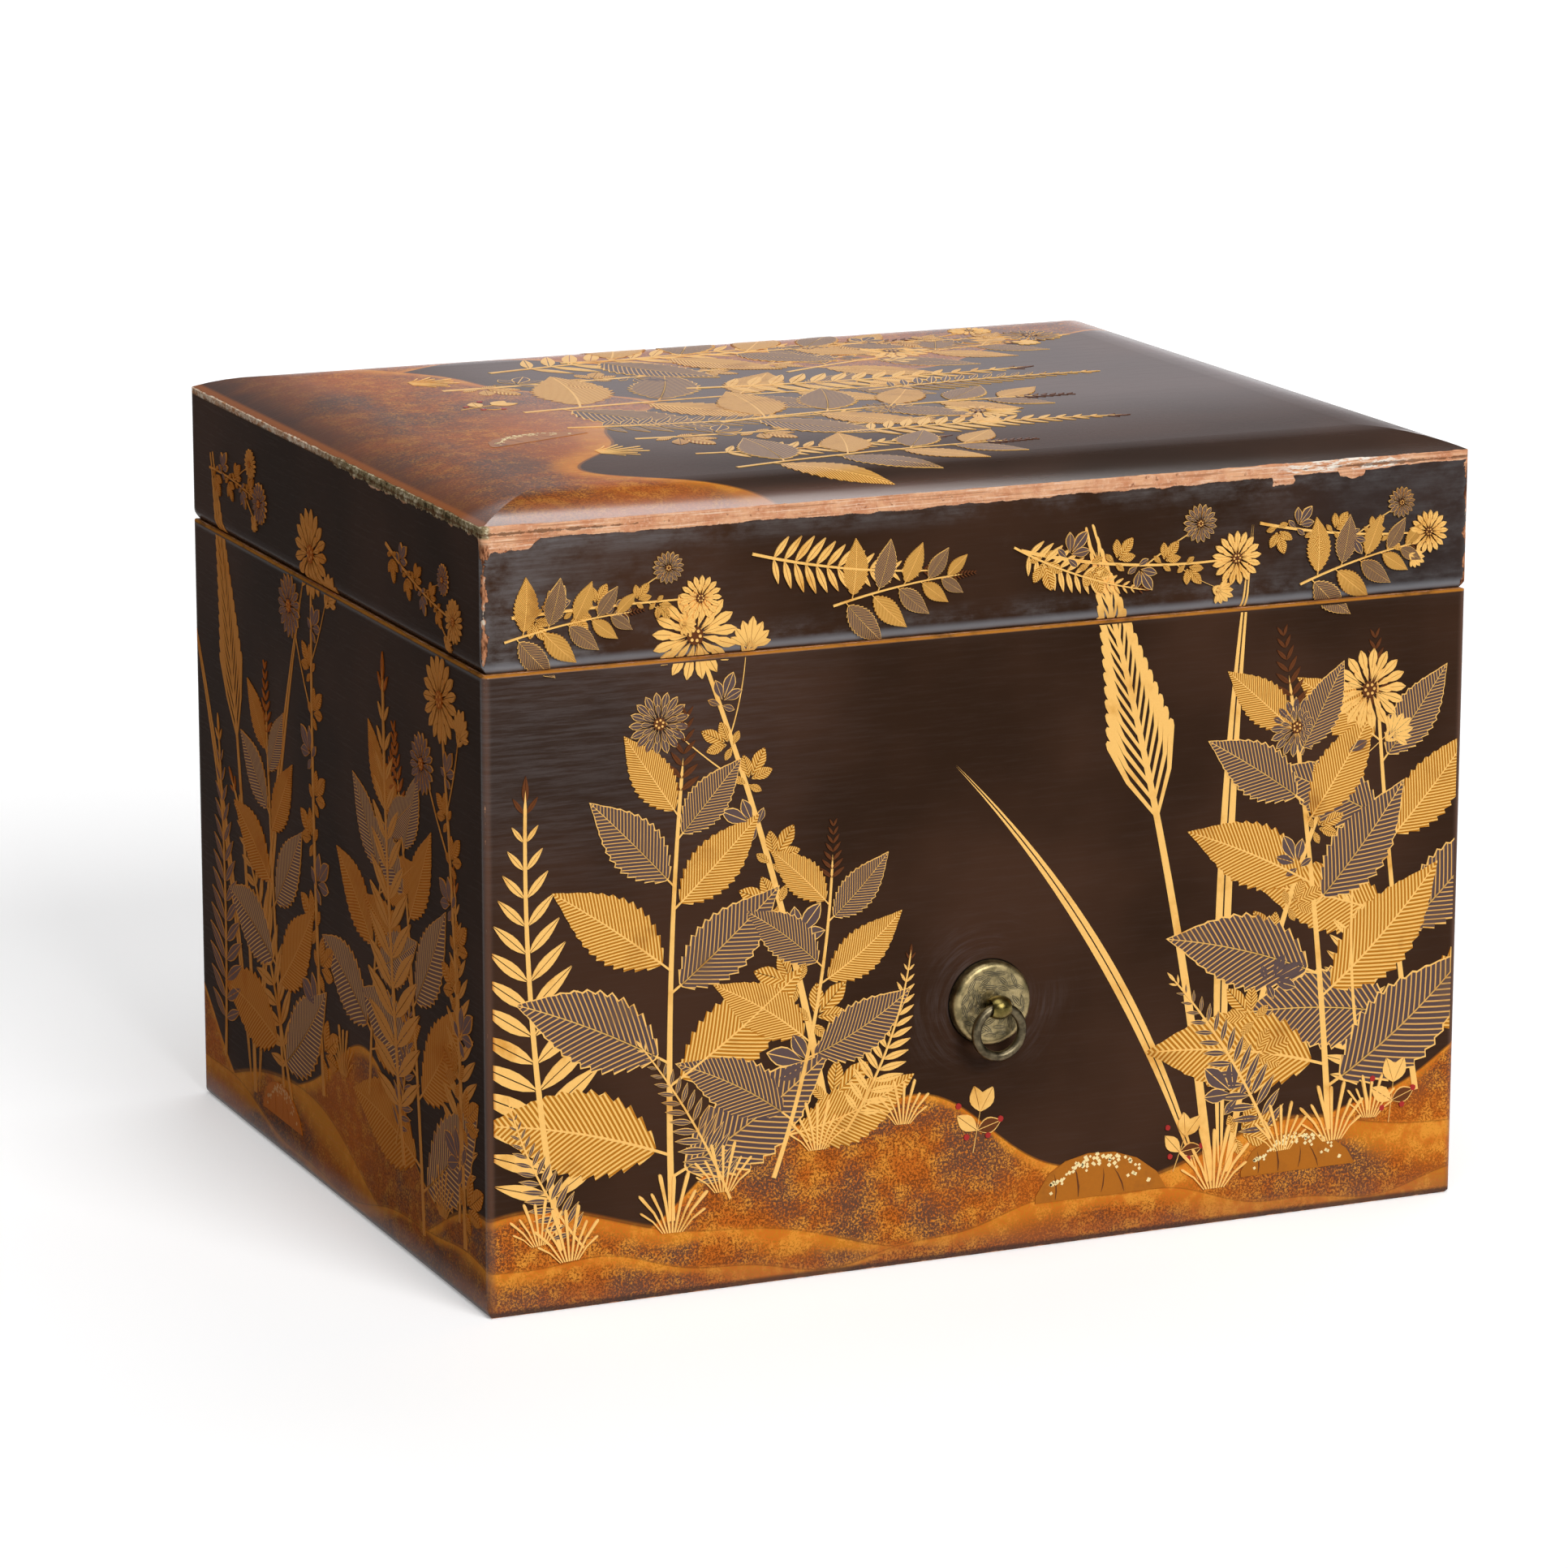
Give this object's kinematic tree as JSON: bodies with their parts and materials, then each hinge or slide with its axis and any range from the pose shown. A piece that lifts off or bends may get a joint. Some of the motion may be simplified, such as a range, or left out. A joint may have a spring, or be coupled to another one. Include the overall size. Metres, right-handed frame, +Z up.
{
  "type": "lacquer accessory box",
  "caption": "Rectangular lacquered wooden accessory box with a flush lift-off lid with rounded borders, an inner lip that keeps the lid in place, and cord rings on the long sides.",
  "frame": {"origin": "on the floor under the middle of the box", "axes": "+X along the long front, to the right as seen from the front, front face at -Y, +Z up"},
  "size_m": [0.275, 0.2436, 0.2064],
  "materials": {
    "black_lacquer": "polished brown-black lacquer over wood, finely rubbed, worn to a tan ground along the edges",
    "gold_lacquer": "gold powder in lacquer over wood, satin",
    "engraved_brass": "grey-olive aged brass with engraved strokes",
    "ring_bronze": "dark aged bronze, rubbed bright in places"
  },
  "bodies": {
    "body": {"body_front_board": "black_lacquer", "body_back_board": "black_lacquer", "body_left_board": "black_lacquer", "body_right_board": "black_lacquer", "bottom_board": "black_lacquer", "lip_front_strip": "gold_lacquer", "lip_back_strip": "gold_lacquer", "lip_left_strip": "gold_lacquer", "lip_right_strip": "gold_lacquer", "front_ring_plate": "engraved_brass", "front_ring_post": "engraved_brass", "front_ring_washer": "engraved_brass", "back_ring_plate": "engraved_brass", "back_ring_post": "engraved_brass", "back_ring_washer": "engraved_brass"},
    "lid": {"lid_top_board": "black_lacquer", "lid_front_board": "black_lacquer", "lid_back_board": "black_lacquer", "lid_left_board": "black_lacquer", "lid_right_board": "black_lacquer"},
    "front_cord_ring": {"front_ring": "ring_bronze"},
    "back_cord_ring": {"back_ring": "ring_bronze"}
  },
  "joints": [
    {"name": "lid_lift", "type": "slide", "parent": "body", "child": "lid", "axis": [0, 0, 1], "range_m": [0, 0.12]},
    {"name": "front_ring_swing", "type": "hinge", "parent": "body", "child": "front_cord_ring", "pos_m": [0, -0.1187, 0.068], "axis": [-1, 0, 0], "range_deg": [-8, 188]},
    {"name": "back_ring_swing", "type": "hinge", "parent": "body", "child": "back_cord_ring", "pos_m": [0, 0.1187, 0.068], "axis": [1, 0, 0], "range_deg": [-8, 188]}
  ]
}
